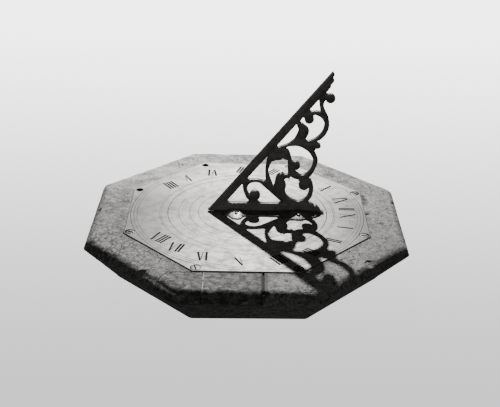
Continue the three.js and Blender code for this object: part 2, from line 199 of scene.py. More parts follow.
class Shader:
    """A node material, made one call at a time. All patterns are in the object's own metres."""

    def __init__(self, name, metallic=0.0, roughness=0.6):
        self.material = bpy.data.materials.new(name)
        self.material.use_nodes = True
        self.tree = self.material.node_tree
        self.surface = self.tree.nodes["Principled BSDF"]
        self.surface.inputs["Metallic"].default_value = metallic
        self.surface.inputs["Roughness"].default_value = roughness
        self.place = self.add("ShaderNodeTexCoord").outputs["Object"]

    def add(self, kind, **settings):
        node = self.tree.nodes.new(kind)
        for key, value in settings.items():
            setattr(node, key, value)
        return node

    def feed(self, socket, value):
        if isinstance(value, bpy.types.NodeSocket):
            self.tree.links.new(value, socket)
        else:
            socket.default_value = value

    def noise(self, size, detail=4.0, rough=0.55, place=None, distortion=0.0):
        """Soft noise whose lumps are about size metres across, from 0 to 1."""
        node = self.add("ShaderNodeTexNoise")
        self.feed(node.inputs["Vector"], place or self.place)
        node.inputs["Scale"].default_value = 1 / size
        node.inputs["Detail"].default_value = detail
        node.inputs["Roughness"].default_value = rough
        node.inputs["Distortion"].default_value = distortion
        return node.outputs["Fac"]

    def cells(self, size, feature="F1", place=None, randomness=1.0):
        node = self.add("ShaderNodeTexVoronoi", feature=feature)
        self.feed(node.inputs["Vector"], place or self.place)
        node.inputs["Scale"].default_value = 1 / size
        node.inputs["Randomness"].default_value = randomness
        return node.outputs["Distance"]

    def stretched(self, scale, turn=0.0):
        node = self.add("ShaderNodeMapping")
        self.feed(node.inputs["Vector"], self.place)
        node.inputs["Scale"].default_value = scale
        node.inputs["Rotation"].default_value = (0, 0, turn)
        return node.outputs["Vector"]

    def warped(self, size, amount):
        """The place, pushed about by noise, so that a pattern loses its straight lines."""
        wave = self.add("ShaderNodeTexNoise")
        self.feed(wave.inputs["Vector"], self.place)
        wave.inputs["Scale"].default_value = 1 / size
        shift = self.add("ShaderNodeVectorMath", operation="SCALE")
        self.feed(shift.inputs[0], wave.outputs["Color"])
        shift.inputs["Scale"].default_value = amount
        total = self.add("ShaderNodeVectorMath", operation="ADD")
        self.feed(total.inputs[0], self.place)
        self.feed(total.inputs[1], shift.outputs["Vector"])
        return total.outputs["Vector"]

    def steps(self, value, low, high, to_low=0.0, to_high=1.0):
        node = self.add("ShaderNodeMapRange", interpolation_type="SMOOTHSTEP")
        self.feed(node.inputs["Value"], value)
        node.inputs["From Min"].default_value = low
        node.inputs["From Max"].default_value = high
        node.inputs["To Min"].default_value = to_low
        node.inputs["To Max"].default_value = to_high
        return node.outputs["Result"]

    def maths(self, operation, a, b=0.0):
        node = self.add("ShaderNodeMath", operation=operation)
        self.feed(node.inputs[0], a)
        self.feed(node.inputs[1], b)
        return node.outputs["Value"]

    def spot(self, centre, inner, outer):
        """1 within inner of a place, falling to 0 at outer."""
        node = self.add("ShaderNodeVectorMath", operation="DISTANCE")
        self.feed(node.inputs[0], self.place)
        node.inputs[1].default_value = centre
        return self.steps(node.outputs["Value"], inner, outer, 1.0, 0.0)

    def mix(self, share, a, b, blend="MIX"):
        node = self.add("ShaderNodeMix", data_type="RGBA", blend_type=blend)
        self.feed(node.inputs["Factor"], share)
        self.feed(node.inputs["A"], a)
        self.feed(node.inputs["B"], b)
        return node.outputs["Result"]

    def height(self, value, depth, below=None):
        """Bump of a pattern that runs from 0 to 1 over depth metres."""
        node = self.add("ShaderNodeBump")
        node.inputs["Distance"].default_value = depth
        self.feed(node.inputs["Height"], value)
        if below is not None:
            self.feed(node.inputs["Normal"], below)
        return node.outputs["Normal"]

    def done(self, color=None, roughness=None, normal=None):
        if color is not None:
            self.feed(self.surface.inputs["Base Color"], color)
        if roughness is not None:
            self.feed(self.surface.inputs["Roughness"], roughness)
        if normal is not None:
            self.feed(self.surface.inputs["Normal"], normal)
        return self.material


def grey(value, warmth=0.02):
    """A nearly neutral colour: a little more red than blue."""
    return (value * (1 + warmth), value, value * (1 - 1.5 * warmth), 1.0)


# ---- Materials ----

def weathered_stone():
    s = Shader("weathered_stone", roughness=0.92)
    broad = s.noise(80 * MM, 3)
    mottle = s.noise(9 * MM, 5, 0.68)
    blotch = s.noise(4.5 * MM, 4, 0.6, s.warped(20 * MM, 30 * MM))
    grain = s.noise(1.3 * MM, 3, 0.75)
    color = s.mix(s.steps(broad, 0.4, 0.62), grey(0.39), grey(0.5))
    color = s.mix(s.steps(mottle, 0.43, 0.57), s.mix(0.62, color, grey(0.19)), color)
    color = s.mix(s.maths("MULTIPLY", s.steps(blotch, 0.51, 0.62), 0.85), color, grey(0.09))
    color = s.mix(s.maths("MULTIPLY", s.steps(blotch, 0.3, 0.46, 1.0, 0.0), 0.55), color, grey(0.68))
    # Bleached at its far southern corner, damp and darker along the north side.
    parts = s.add("ShaderNodeSeparateXYZ")
    s.feed(parts.inputs[0], s.place)
    x, y, z = (parts.outputs[axis] for axis in "XYZ")
    bleached = s.maths("MULTIPLY", s.steps(x, -0.12, 0.0, 1.0, 0.0), s.steps(y, 0.03, 0.12))
    color = s.mix(s.maths("MULTIPLY", bleached, 0.6), color, grey(0.75))
    color = s.mix(s.maths("MULTIPLY", s.steps(x, 0.13, 0.17), 0.3), color, grey(0.1))
    color = s.mix(s.steps(grain, 0.38, 0.62), s.mix(0.6, color, grey(0.1)), color)
    # Painted shade beside the repair's north joint.
    beside = s.steps(s.maths("ABSOLUTE", s.maths("SUBTRACT", x, 22.5 * MM)), 1.2 * MM, 4 * MM, 1.0, 0.0)
    beside = s.maths("MULTIPLY", beside, s.steps(y, -0.158, -0.153, 1.0, 0.0))
    beside = s.maths("MULTIPLY", beside, s.steps(z, STONE_TOP - 8 * MM, STONE_TOP - 5 * MM))
    color = s.mix(s.maths("MULTIPLY", beside, 0.6), color, grey(0.06))
    # Dirt and painted shade darken the pits beside the plate to near black.
    for px, py, inner, outer in ((155, 2, 1.6, 3.6), (155.5, 34, 2.5, 6), (155.5, 45, 3, 7),
                                 (154.5, 55, 2.5, 6), (-192, -1, 2, 5)):
        dirt = s.spot((px * MM, py * MM, STONE_TOP), inner * MM, outer * MM)
        color = s.mix(s.maths("MULTIPLY", dirt, 0.9), color, grey(0.03))
    # A crack across the top at the far side, a little askew to Y.
    wavering = s.add("ShaderNodeSeparateXYZ")
    s.feed(wavering.inputs[0], s.warped(12 * MM, 5 * MM))
    off = s.maths("ADD", wavering.outputs["X"], s.maths("MULTIPLY", wavering.outputs["Y"], 0.256))
    off = s.maths("ABSOLUTE", s.maths("SUBTRACT", off, -58 * MM))
    crack = s.maths("MULTIPLY", s.steps(off, 0.5 * MM, 1.5 * MM, 1.0, 0.0),
                    s.maths("MULTIPLY", s.steps(y, 0.134, 0.138), s.steps(x, -0.12, -0.11)))
    color = s.mix(s.maths("MULTIPLY", crack, 0.75), color, grey(0.06))
    # Crusty growth at the south and near sides: small rings with dark ragged rims.
    ragged = s.warped(7 * MM, 7 * MM)
    rims = s.steps(s.cells(7 * MM, "DISTANCE_TO_EDGE", ragged), 0.03, 0.17, 1.0, 0.0)
    zone = s.maths("MAXIMUM", s.spot((-0.162, -0.085, STONE_TOP), 0.012, 0.09),
                   s.maths("MULTIPLY", s.spot((-0.13, -0.145, STONE_TOP), 0.008, 0.06), 0.8))
    patchy = s.maths("MULTIPLY", zone, s.steps(s.noise(15 * MM, 3), 0.34, 0.48))
    color = s.mix(s.maths("MULTIPLY", zone, 0.3), color, grey(0.45))
    color = s.mix(s.maths("MULTIPLY", rims, s.maths("MULTIPLY", patchy, 0.9)), color, grey(0.06))
    # Thin wandering cracks, and small pits.
    wander = s.cells(42 * MM, "DISTANCE_TO_EDGE", s.warped(14 * MM, 16 * MM))
    cracks = s.maths("MULTIPLY", s.steps(wander, 0.004, 0.022, 1.0, 0.0),
                     s.steps(s.noise(26 * MM, 2), 0.55, 0.61))
    cracks = s.maths("MULTIPLY", cracks, s.steps(z, STONE_TOP - 9 * MM, STONE_TOP - 4 * MM))
    color = s.mix(s.maths("MULTIPLY", cracks, 0.8), color, grey(0.05))
    pits = s.steps(s.cells(6.5 * MM, place=s.warped(4 * MM, 3 * MM)), 0.12, 0.3, 1.0, 0.0)
    pits = s.maths("MULTIPLY", pits, s.steps(s.noise(11 * MM, 2), 0.49, 0.58))
    color = s.mix(s.maths("MULTIPLY", pits, 0.75), color, grey(0.07))
    # Painted shadow of the plate, with grime, darkens the stone along the plate's near and north edges.
    color = s.mix(s.maths("MULTIPLY", plate_shadow_and_grime(s), 0.55), color, grey(0.1))
    hollows = s.maths("SUBTRACT", 1.0, s.maths("MAXIMUM", pits, cracks))
    lumps = s.height(hollows, 0.9 * MM, s.height(grain, 0.45 * MM, s.height(mottle, 1.3 * MM)))
    return s.done(color, s.steps(mottle, 0.2, 0.8, 0.85, 0.95), lumps)


def plate_shadow_and_grime(s):
    """Painted shadow and grime: 1 close outside the plate's near and north edges, fading over a few
    millimetres, and patchy.
    """
    parts = s.add("ShaderNodeSeparateXYZ")
    s.feed(parts.inputs[0], s.place)
    x, y = parts.outputs["X"], parts.outputs["Y"]
    diagonal = math.sqrt(0.5)
    reach = None
    for nx, ny in ((1, 0), (0, -1), (-diagonal, -diagonal), (diagonal, -diagonal)):
        out = s.maths("ADD", s.maths("MULTIPLY", x, nx), s.maths("MULTIPLY", y, ny))
        reach = out if reach is None else s.maths("MAXIMUM", reach, out)
    close = s.steps(reach, PLATE_FLAT + 1 * MM, PLATE_FLAT + 11 * MM, 1.0, 0.0)
    return s.maths("MULTIPLY", close, s.steps(s.noise(17 * MM, 4, 0.6), 0.42, 0.6, 0.1, 1.0))


def repair_stone():
    s = Shader("repair_stone", roughness=0.88)
    mottle = s.noise(8 * MM, 5, 0.65)
    grain = s.noise(1.2 * MM, 3, 0.75)
    color = s.mix(s.steps(mottle, 0.43, 0.57), grey(0.1), grey(0.29))
    color = s.mix(s.steps(grain, 0.38, 0.62), s.mix(0.55, color, grey(0.06)), color)
    scuffs = s.steps(s.noise(4 * MM, 3, place=s.stretched((0.4, 1, 1), 0.3)), 0.56, 0.68)
    color = s.mix(s.maths("MULTIPLY", scuffs, 0.7), color, grey(0.55))
    # Painted highlight: pale along its askew end and beside the joint between the blocks, where the
    # arris would catch the light.
    parts = s.add("ShaderNodeSeparateXYZ")
    s.feed(parts.inputs[0], s.place)
    x, y, z = (parts.outputs[axis] for axis in "XYZ")
    slant = s.maths("ADD", x, s.maths("MULTIPLY", y, -REPAIR_SLANT))
    edge_highlight = s.steps(slant, REPAIR_SLANT_START, REPAIR_SLANT_START + 2.2 * MM, 1.0, 0.0)
    off = s.maths("ABSOLUTE", s.maths("SUBTRACT", x, REPAIR_JOINT + 1.2 * MM))
    edge_highlight = s.maths("MAXIMUM", edge_highlight, s.steps(off, 0.4 * MM, 1.1 * MM, 1.0, 0.0))
    edge_highlight = s.maths("MULTIPLY", edge_highlight, s.steps(s.noise(5 * MM, 2), 0.38, 0.52))
    edge_highlight = s.maths("MULTIPLY", edge_highlight, s.steps(z, STONE_TOP - 5 * MM, STONE_TOP - 2.5 * MM))
    color = s.mix(s.maths("MULTIPLY", edge_highlight, 0.85), color, grey(0.62))
    color = s.mix(s.maths("MULTIPLY", s.steps(x, 15.5 * MM, 18 * MM), 0.85), color, grey(0.03))
    # Painted shadow of the plate, with grime, along its near and north edges.
    color = s.mix(s.maths("MULTIPLY", plate_shadow_and_grime(s), 0.4), color, grey(0.1))
    lumps = s.height(grain, 0.4 * MM, s.height(mottle, 0.9 * MM))
    return s.done(color, None, lumps)


def lime_mortar():
    """Sandy on top, near black at the north joint, and as dark as the stone low on its face."""
    s = Shader("lime_mortar", roughness=0.95)
    sand = s.noise(1.2 * MM, 3, 0.8)
    stain = s.noise(10 * MM, 3)
    color = s.mix(s.steps(sand, 0.3, 0.7), grey(0.22), grey(0.42))
    color = s.mix(s.steps(stain, 0.4, 0.62), s.mix(0.75, color, grey(0.07)), color)
    parts = s.add("ShaderNodeSeparateXYZ")
    s.feed(parts.inputs[0], s.place)
    color = s.mix(s.steps(parts.outputs["X"], 12 * MM, 16 * MM), color, grey(0.04))
    upper = s.steps(parts.outputs["Z"], STONE_TOP - 9 * MM, STONE_TOP - 5 * MM)
    color = s.mix(upper, s.mix(s.steps(sand, 0.3, 0.7), grey(0.24), grey(0.36)), color)
    return s.done(color, None, s.height(sand, 0.6 * MM))


def dial_metal():
    s = Shader("dial_metal", metallic=0.35, roughness=0.5)
    broad = s.noise(70 * MM, 3)
    cloud = s.noise(12 * MM, 5, 0.65)
    speck = s.noise(1.5 * MM, 3, 0.75)
    # Painted light and shade: paler across the middle and towards the far side, darker to either side
    # and at the near side, darkest at the north rim.
    parts = s.add("ShaderNodeSeparateXYZ")
    s.feed(parts.inputs[0], s.warped(60 * MM, 40 * MM))
    middle = s.steps(s.maths("ABSOLUTE", parts.outputs["X"]), 0.05, 0.11, 1.0, 0.0)
    color = s.mix(middle, grey(0.28, 0.035), grey(0.38, 0.035))
    color = s.mix(s.steps(parts.outputs["Y"], 0.035, 0.12), color, grey(0.58, 0.03))
    color = s.mix(s.steps(broad, 0.3, 0.7), s.mix(0.22, color, grey(0.12, 0.04)), color)
    rim = s.maths("MULTIPLY", s.steps(parts.outputs["X"], 0.125, 0.17),
                  s.steps(parts.outputs["Y"], 0.0, 0.08, 1.0, 0.0))
    color = s.mix(s.maths("MULTIPLY", rim, 0.75), color, grey(0.12, 0.03))
    color = s.mix(s.steps(cloud, 0.36, 0.6), s.mix(0.4, color, grey(0.12, 0.04)), color)
    # Tarnish that has gathered at the south rim and near one northern fixing.
    south = s.spot((-0.15, -0.02, DIAL_TOP), 0.02, 0.075)
    north = s.spot((0.15, 0.045, DIAL_TOP), 0.01, 0.04)
    stain = s.maths("MULTIPLY", s.maths("MAXIMUM", south, north), s.steps(cloud, 0.36, 0.58, 1.0, 0.15))
    color = s.mix(s.maths("MULTIPLY", stain, 0.75), color, grey(0.16, 0.03))
    # Fine scratches, most of them nearly along X, and grit spots.
    lines = s.noise(3 * MM, 2, 0.5, s.stretched((0.02, 1, 1), 0.08))
    cross = s.noise(2.6 * MM, 2, 0.5, s.stretched((1, 0.03, 1), 0.5))
    scratch = s.maths("MAXIMUM", s.steps(lines, 0.66, 0.72), s.steps(cross, 0.7, 0.74))
    color = s.mix(s.maths("MULTIPLY", scratch, 0.3), color, grey(0.2))
    grit = s.steps(s.cells(9 * MM, place=s.warped(5 * MM, 3 * MM)), 0.03, 0.09, 1.0, 0.0)
    grit = s.maths("MULTIPLY", grit, s.steps(s.noise(30 * MM, 2), 0.5, 0.58))
    color = s.mix(s.maths("MULTIPLY", grit, 0.7), color, grey(0.06))
    rough = s.maths("ADD", s.steps(cloud, 0.3, 0.7, 0.58, 0.46), s.maths("MULTIPLY", speck, 0.06))
    waves = s.height(s.noise(60 * MM, 2), 1.2 * MM)
    waves = s.height(speck, 0.04 * MM, s.height(s.maths("SUBTRACT", 1.0, scratch), 0.06 * MM, waves))
    return s.done(color, rough, waves)


def engraving(name, value):
    """What fills a cut: near-black wax in the numerals, slightly paler dirt in the circles."""
    s = Shader(name, roughness=0.9)
    s.surface.inputs["Specular IOR Level"].default_value = 0.15
    worn = s.noise(6 * MM, 4, 0.7)
    color = s.mix(s.steps(worn, 0.4, 0.7), grey(value * 0.6), grey(value * 1.5))
    return s.done(color, None, s.height(worn, 0.1 * MM))


def dark_bronze():
    s = Shader("dark_bronze", metallic=0.35, roughness=0.5)
    cloud = s.noise(10 * MM, 5, 0.65)
    speck = s.noise(1.3 * MM, 3, 0.75)
    color = s.mix(s.steps(cloud, 0.35, 0.65), grey(0.026, 0.05), grey(0.052, 0.06))
    color = s.mix(s.steps(speck, 0.62, 0.75), color, grey(0.11, 0.05))
    rough = s.steps(cloud, 0.3, 0.7, 0.42, 0.6)
    bumps = s.height(speck, 0.12 * MM, s.height(cloud, 0.4 * MM))
    return s.done(color, rough, bumps)


def bronze_with_painted_light():
    """The foot's bronze, with a pale patch of painted light on the crown of each near lobe, strongest
    at the heel.
    """
    s = Shader("bronze_with_painted_light", metallic=0.55, roughness=0.48)
    cloud = s.noise(10 * MM, 5, 0.65)
    speck = s.noise(1.3 * MM, 3, 0.75)
    color = s.mix(s.steps(cloud, 0.35, 0.65), grey(0.026, 0.05), grey(0.052, 0.06))
    # Painted light: pale patches where light falls on the crowns of the near lobes.
    heel = s.spot((HEEL_X + 35 * MM, -16 * MM, DIAL_TOP + 3.5 * MM), 5 * MM, 13 * MM)
    ring = s.spot((HEEL_X + 116 * MM, -16 * MM, DIAL_TOP + 3.5 * MM), 4 * MM, 14 * MM)
    painted_light_patch = s.maths("MAXIMUM", heel, s.maths("MULTIPLY", ring, 0.12))
    painted_light_patch = s.maths("MULTIPLY", painted_light_patch, s.steps(speck, 0.25, 0.5, 0.7, 1.0))
    color = s.mix(painted_light_patch, color, grey(0.42, 0.05))
    return s.done(color, None, s.height(speck, 0.1 * MM, s.height(cloud, 0.3 * MM)))


def tarnished_brass():
    s = Shader("tarnished_brass", metallic=0.85, roughness=0.45)
    cloud = s.noise(3 * MM, 4, 0.7)
    color = s.mix(s.steps(cloud, 0.35, 0.65), grey(0.06, 0.06), grey(0.2, 0.05))
    return s.done(color, s.steps(cloud, 0.3, 0.7, 0.38, 0.6), s.height(cloud, 0.15 * MM))


def dull_lead():
    s = Shader("dull_lead", metallic=0.6, roughness=0.65)
    cloud = s.noise(2.5 * MM, 4, 0.7)
    color = s.mix(s.steps(cloud, 0.35, 0.65), grey(0.012, 0.0), grey(0.035, 0.0))
    return s.done(color, None, s.height(cloud, 0.3 * MM))


REPAIR_SLANT = 2 / 3
REPAIR_SOUTH = -90 * MM  # at the plate; from there its end runs askew to the edge
REPAIR_SLANT_START = REPAIR_SOUTH + REPAIR_SLANT * (PLATE_FLAT + 2.5 * MM)
REPAIR_JOINT = (north_low.x + south_high.x) / 2
REPAIR_NORTH = 20 * MM

STONE = weathered_stone()
REPAIR = repair_stone()
MORTAR = lime_mortar()
METAL = dial_metal()
DEEP_CUT = engraving("deep_cut", 0.014)
FINE_CUT = engraving("fine_cut", 0.045)
BRONZE = dark_bronze()
PAINTED_LIGHT_BRONZE = bronze_with_painted_light()
BRASS = tarnished_brass()
LEAD = dull_lead()


# ---- Stonework ----

STONE_CORNER = 7 * MM
# Knocks out of the arris: centre, radius and depth.
CHIPS = (
    ((-105, -179, 54), 5, 1.4),
    ((146, -124, 55), 7, 3.5),
    ((-194, 3, 54), 5, 2.2),
    ((-50, -192, 52), 3.5, 2.5),
    ((-104, 176, 56), 6, 2.0),
    ((-126, 147, 55), 5, 1.2),
    ((196, 42, 52), 6, 1.5),
    ((21, -193, 52), 5, 2.0),
)

# Hollows in the top beside the plate: x, y, radius and depth.
PITS = (
    (156, 2, 3.2, 3.0),
    (157, 36, 4.5, 1.4),
    (157.5, 46, 4.5, 1.4),
    (157, 56, 3.5, 1.2),
    (-101, 158, 4, 0.8),
    (-88, -160, 5, 1.3),
)


def rounded_octagon_radius(flat, angle):
    """Distance from the middle to an octagon with slightly rounded corners."""
    delta = (angle + OCTANT / 2) % OCTANT - OCTANT / 2
    inner = flat - STONE_CORNER
    half_side = inner * math.tan(OCTANT / 2)
    if flat * abs(math.tan(delta)) <= half_side:
        return flat / math.cos(delta)
    along = inner * math.cos(delta) + half_side * math.sin(abs(delta))
    return along + math.sqrt(along ** 2 - inner ** 2 - half_side ** 2 + STONE_CORNER ** 2)


def stone_profile():
    """Rows of (half across flats, height, wear), from the middle of the top to the bed."""
    rows = [(flat * MM, STONE_TOP, 0.0) for flat in (70, 120, 145, 150, 152)]
    edge = BAND_FLAT - 1.2 * MM
    for step in range(17):
        share = step / 16
        flat = SEAT_FLAT + 0.4 * MM + (TOP_FLAT - SEAT_FLAT - 1.5 * MM) * share
        rows.append((flat, STONE_TOP, min(1.0, 0.3 + 3 * share)))
    for step in range(13):
        angle = step / 12 * math.pi / 2
        flat = TOP_FLAT + (edge - TOP_FLAT) * math.sin(angle)
        rows.append((flat, STONE_TOP - TOP_ROUNDING * (1 - math.cos(angle)), 1.0))
    fullest = STONE_TOP - BAND_HEIGHT * 0.8
    rows.append((BAND_FLAT, fullest, 1.0))
    lower = BAND_FLAT - 2 * MM
    for step in range(1, 4):
        share = step / 3
        drop = fullest + (STONE_TOP - BAND_HEIGHT - fullest) * share
        rows.append((BAND_FLAT + (lower - BAND_FLAT) * share ** 2, drop, 1.0))
    for step in range(1, 23):
        share = step / 22
        rows.append((lower + (BED_FLAT - lower) * share, (STONE_TOP - BAND_HEIGHT) * (1 - share), 0.8))
    rows[-1] = (BED_FLAT, 0.0, 0.0)
    rows.append((BED_FLAT - 12 * MM, 0.0, 0.0))
    rows.append((80 * MM, 0.0, 0.0))
    return rows


def wear_at(point, outward, wear):
    """How far the weather has moved a point of the stone's surface, always inwards."""
    if wear == 0:
        return Vector((0, 0, 0))
    coarse = noise.noise(point / (38 * MM))
    medium = noise.noise(point / (9 * MM))
    fine = noise.noise(point / (3.2 * MM))
    depth = (0.5 + 0.45 * coarse) * 0.5 + (0.5 + 0.5 * medium) * 0.4 + (0.5 + 0.5 * fine) * 0.28
    shift = outward * (-depth * MM * wear)
    # The arris is softened more in some places than in others.
    reach = point.xy.length
    flat_here = BAND_FLAT * reach / rounded_octagon_radius(BAND_FLAT, math.atan2(point.y, point.x))
    from_arris = math.hypot(flat_here - TOP_FLAT - 6 * MM, point.z - STONE_TOP + 3 * MM)
    near_arris = max(0.0, 1 - from_arris / (13 * MM))
    if near_arris > 0:
        inwards = (Vector((-point.x, -point.y, 0)).normalized() + Vector((0, 0, -0.9))) * MM
        loss = 0.5 + 0.5 * noise.noise(point / (46 * MM) + Vector((7, 3, 1)))
        ragged = 0.5 + 0.5 * noise.noise(point / (7 * MM) + Vector((2, 9, 4)))
        shift += inwards * (0.2 + 1.1 * loss ** 2 + 0.5 * ragged ** 2) * near_arris ** 1.5
        # The southern stretch of the repaired near edge is worn well back.
        if point.y < -150 * MM and point.x < 20 * MM:
            south = min(1.0, max(0.0, (-62 * MM - point.x) / (34 * MM)))
            shift += inwards * (0.4 + 1.6 * south) * near_arris
    for centre, radius, chip_depth in CHIPS:
        away = (point - Vector(centre) * MM).length / (radius * MM)
        if away < 1.3:
            ragged = away + 0.25 * noise.noise(point / (2.5 * MM))
            if ragged < 1:
                inwards = Vector((-point.x, -point.y, -90 * MM)).normalized()
                shift += inwards * (chip_depth * MM * min(1.0, 1.8 * (1 - ragged)))
    for x, y, radius, pit_depth in PITS:
        away = math.hypot(point.x - x * MM, point.y - y * MM) / (radius * MM)
        if away < 1 and point.z > STONE_TOP - 2 * MM:
            shift.z -= pit_depth * MM * min(1.0, 2.5 * (1 - away))
    return shift


def whole_stone():
    rows = stone_profile()
    per_side = 92
    angles = []
    for side in range(SIDES):
        for step in range(per_side):
            share = step / per_side * 2 - 1
            across = math.atan(share * math.tan(OCTANT / 2))
            angles.append(side * OCTANT + across)
    bm = bmesh.new()
    rings = []
    for index, (flat, height, wear) in enumerate(rows):
        ring = []
        before = rows[max(0, index - 1)]
        after = rows[min(len(rows) - 1, index + 1)]
        run, fall = after[0] - before[0], before[1] - after[1]
        tilt = math.atan2(run, fall) if (run or fall) else math.pi / 2
        turn = BED_TURN * max(0.0, 1 - height / (STONE_TOP - BAND_HEIGHT))
        for angle in angles:
            reach = rounded_octagon_radius(flat, angle)
            point = Vector((reach * math.cos(angle + turn), reach * math.sin(angle + turn), height))
            side_angle = round(angle / OCTANT) * OCTANT
            outward = Vector((math.cos(side_angle) * math.cos(tilt),
                              math.sin(side_angle) * math.cos(tilt), math.sin(tilt)))
            ring.append(bm.verts.new(point + wear_at(point, outward, wear)))
        rings.append(ring)
    count = len(angles)
    for upper, lower in zip(rings, rings[1:]):
        for i in range(count):
            j = (i + 1) % count
            bm.faces.new((upper[i], lower[i], lower[j], upper[j]))
    top = bm.verts.new((0, 0, STONE_TOP))
    bed = bm.verts.new((0, 0, 0))
    for i in range(count):
        j = (i + 1) % count
        bm.faces.new((rings[0][i], rings[0][j], top))
        bm.faces.new((rings[-1][j], rings[-1][i], bed))
    return link("whole_stone", bm, STONE)


def repair_cutter(name, south, north, inset, depth, *materials):
    """A prism over part of the repair's plan. A south of None follows the askew end."""
    inner = -PLATE_FLAT - 1.2 * MM - inset
    outer = -BAND_FLAT - 5 * MM
    if south is None:
        inner_south = REPAIR_SOUTH + inset
        outer_south = inner_south - REPAIR_SLANT * (inner - outer)
    else:
        inner_south = outer_south = south
    plan = [(outer_south, outer), (north, outer), (north, inner), (inner_south, inner)]
    bm = bmesh.new()
    add_prism(bm, plan, STONE_TOP - depth, STONE_TOP + 5 * MM)
    return link(name, bm, *materials)


def cylinder_cutter(radius, x, y, z0, z1, segments=40):
    bm = bmesh.new()
    add_turning(bm, [(0, z0), (radius, z0), (radius, z1), (0, z1)], (x, y, 0), segments)
    return link("cutter", bm)


def fixing_places():
    """Corner number and place of every corner hole in the plate."""
    for corner in range(SIDES):
        angle = (corner + 0.5) * OCTANT + PLATE_TURN
        yield corner + 1, CORNER_RADIUS * math.cos(angle), CORNER_RADIUS * math.sin(angle)


def stonework():
    whole = whole_stone()
    depth = STONE_TOP - mortar_low.z
    cap = copy_of(whole, "weathered_cap")
    combine(cap, repair_cutter("recess", None, REPAIR_NORTH + 1.1 * MM, -0.5 * MM, depth),
            "DIFFERENCE")
    bm = bmesh.new()
    seat = octagon(SEAT_FLAT, PLATE_TURN, 0.8 * MM, 3)
    add_prism(bm, seat, plate_low.z, STONE_TOP + 5 * MM)
    combine(cap, link("seat", bm, STONE), "DIFFERENCE")
    for _, x, y in fixing_places():
        plug = cylinder_cutter(8.5 * MM, x, y, plate_low.z - 34 * MM, STONE_TOP + 5 * MM)
        combine(cap, plug, "DIFFERENCE")
    south = copy_of(whole, "repair_block_south")
    combine(south, repair_cutter("room", None, REPAIR_JOINT - 0.45 * MM, 0.5 * MM,
                                 depth - 1.6 * MM), "INTERSECT")
    north = copy_of(whole, "repair_block_north")
    combine(north, repair_cutter("room", REPAIR_JOINT + 0.45 * MM, REPAIR_NORTH - 1.4 * MM,
                                 0.4 * MM, depth - 1.6 * MM), "INTERSECT")
    for block in (south, north):
        block.data.materials.clear()
        block.data.materials.append(REPAIR)
    # The mortar is weathered back below the stones, except for a blob at the north joint.
    bed = copy_of(whole, "mortar_bed")
    bed.data.transform(Matrix.Translation((0, 0, -1.6 * MM)) @ Matrix.Diagonal((0.9925, 0.9925, 1, 1)))
    combine(bed, repair_cutter("lining", None, REPAIR_NORTH + 1.0 * MM, -0.4 * MM,
                               depth - 0.2 * MM), "INTERSECT")
    combine(bed, repair_cutter("room", None, REPAIR_JOINT - 0.3 * MM, 0.6 * MM,
                               depth - 1.4 * MM), "DIFFERENCE")
    combine(bed, repair_cutter("room", REPAIR_JOINT + 0.3 * MM, REPAIR_NORTH - 1.3 * MM, 0.5 * MM,
                               depth - 1.4 * MM), "DIFFERENCE")
    combine(bed, mortar_blob(), "UNION")
    bed.data.materials.clear()
    bed.data.materials.append(MORTAR)
    bpy.data.objects.remove(whole)
    for piece in (cap, south, north, bed):
        smooth(piece, 50)
    finish_piece(cap, "stone", "cap_stone")
    finish_piece(south, "repair_stone", "edge_repair_south")
    finish_piece(north, "repair_stone", "edge_repair_north")
    finish_piece(bed, "mortar", "repair_mortar")


def mortar_blob():
    bm = bmesh.new()
    bmesh.ops.create_icosphere(bm, subdivisions=4, radius=2.4 * MM)
    for vert in bm.verts:
        vert.co *= 0.85 + 0.3 * noise.noise(vert.co / (1.6 * MM))
        vert.co.x *= 0.8
        vert.co += Vector((19.9, -193.2, 49.2)) * MM
    return link("blob", bm, MORTAR)


stonework()


# ---- Engraving ----
# Every hour's numeral stands on its hour line, its foot outwards, and is drawn as strokes in
# its own plane: x to the right as it is read from outside the dial, y towards the heel.

CUT_DEPTH = 0.45 * MM
NUMERAL_RADIUS = 129.5 * MM
NUMERAL_HEIGHT = 21 * MM
THICK = 2.8 * MM
THIN = 1.0 * MM
NUMERALS = {4: "IIII", 5: "V", 6: "VI", 7: "VII", 8: "VIII", 9: "IX", 10: "X", 11: "XI",
            12: "XII", 13: "I", 14: "II", 15: "III", 16: "IIII", 17: "V", 18: "VI",
            19: "VII", 20: "VIII"}
CIRCLES = ((63, 0.8), (74.5, 0.9), (84, 0.35), (88.5, 0.8), (102.5, 1.3), (111, 0.7),
           (113, 0.7), (142, 0.7), (146, 0.7), (150, 1.1))
SPACE = {("I", "I"): 3.9, ("V", "I"): 7.2, ("X", "I"): 7.6, ("I", "X"): 7.6}


def stroke(a, b, width_a, width_b=None):
    """A straight stroke's four corners, from a to b."""
    start, end = Vector(a), Vector(b)
    side = (end - start).orthogonal().normalized()
    width_b = width_a if width_b is None else width_b
    return [start + side * width_a / 2, start - side * width_a / 2,
            end - side * width_b / 2, end + side * width_b / 2]


def glyph(letter, x):
    """(thick strokes, thin strokes) of one letter."""
    top, foot = NUMERAL_HEIGHT / 2, -NUMERAL_HEIGHT / 2
    if letter == "I":
        return [stroke((x, top), (x, foot), THICK)], []
    if letter == "V":
        half = 3.2 * MM
        gap = 0.5 * MM
        return ([stroke((x - half, top), (x, foot), THICK * 1.05, THICK * 0.8)],
                [stroke((x + half, top), (x + gap * 1.6, foot + 2.2 * MM), THIN)])
    half = 4.4 * MM
    return ([stroke((x - half, top), (x + half, foot), THICK * 1.05)],
            [stroke((x + half, top), (x - half, foot), THIN)])


def hour_direction(hour):
    """Which way an hour line runs from the heel."""
    turn = math.radians(15 * (hour - 12))
    return -math.atan2(math.sin(LATITUDE) * math.sin(turn), math.cos(turn))


